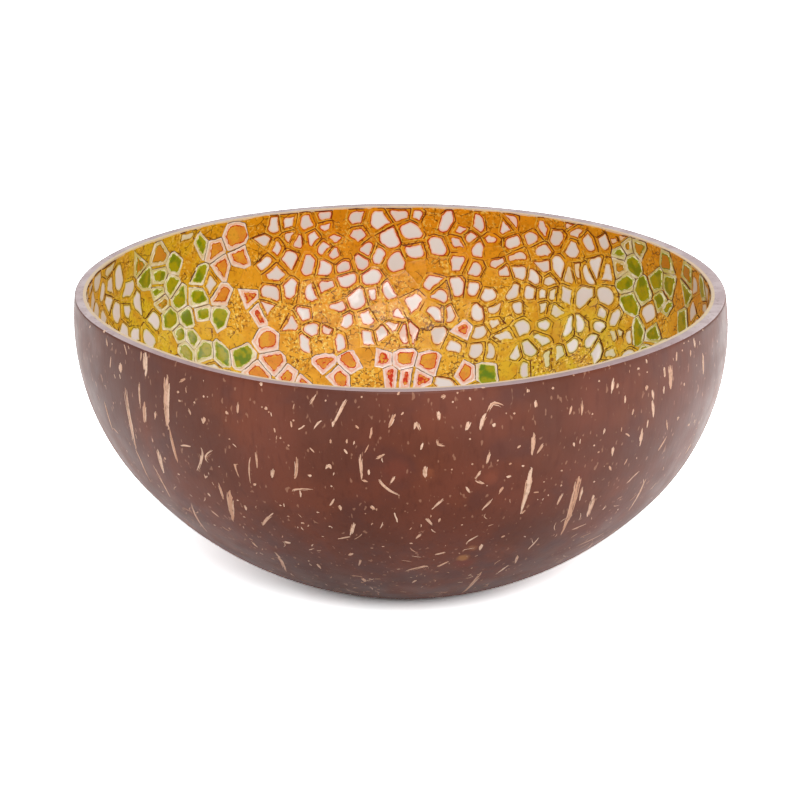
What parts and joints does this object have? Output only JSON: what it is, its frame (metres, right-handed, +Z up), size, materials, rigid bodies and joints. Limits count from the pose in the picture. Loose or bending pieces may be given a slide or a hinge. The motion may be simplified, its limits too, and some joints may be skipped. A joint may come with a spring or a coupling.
{
  "type": "coconut shell bowl",
  "caption": "Round bowl sawn from half a coconut shell on a sanded flat foot, lined with gold lacquer and a crackled eggshell mosaic in white, green and orange.",
  "frame": {"origin": "centre of the flat foot, on the surface that the bowl stands on", "axes": "+Z up out of the bowl's mouth; -Y faces the viewer; the form is round about Z"},
  "size_m": [0.135, 0.135, 0.061],
  "materials": {
    "shell": "sanded and polished coconut shell, satin",
    "ground_lacquer": "dark brown lacquer",
    "gold_lacquer": "gold-flake lacquer under a gloss topcoat",
    "eggshell": "gloss-lacquered eggshell with tinted edges",
    "cup_eggshell": "gloss-lacquered eggshell",
    "green_lacquer": "translucent green lacquer",
    "orange_lacquer": "translucent orange lacquer"
  },
  "bodies": {
    "root": {"coconut_shell": "shell", "ground_lacquer": "ground_lacquer", "gold_lacquer": "gold_lacquer", "gold_fill": "gold_lacquer", "white_chips_base": "eggshell", "white_chips_low": "eggshell", "white_chips_middle": "eggshell", "white_chips_high": "eggshell", "white_chips_rim": "eggshell", "green_cup_chips": "cup_eggshell", "green_pools": "green_lacquer", "orange_cup_chips": "cup_eggshell", "orange_pools": "orange_lacquer"}
  },
  "joints": []
}
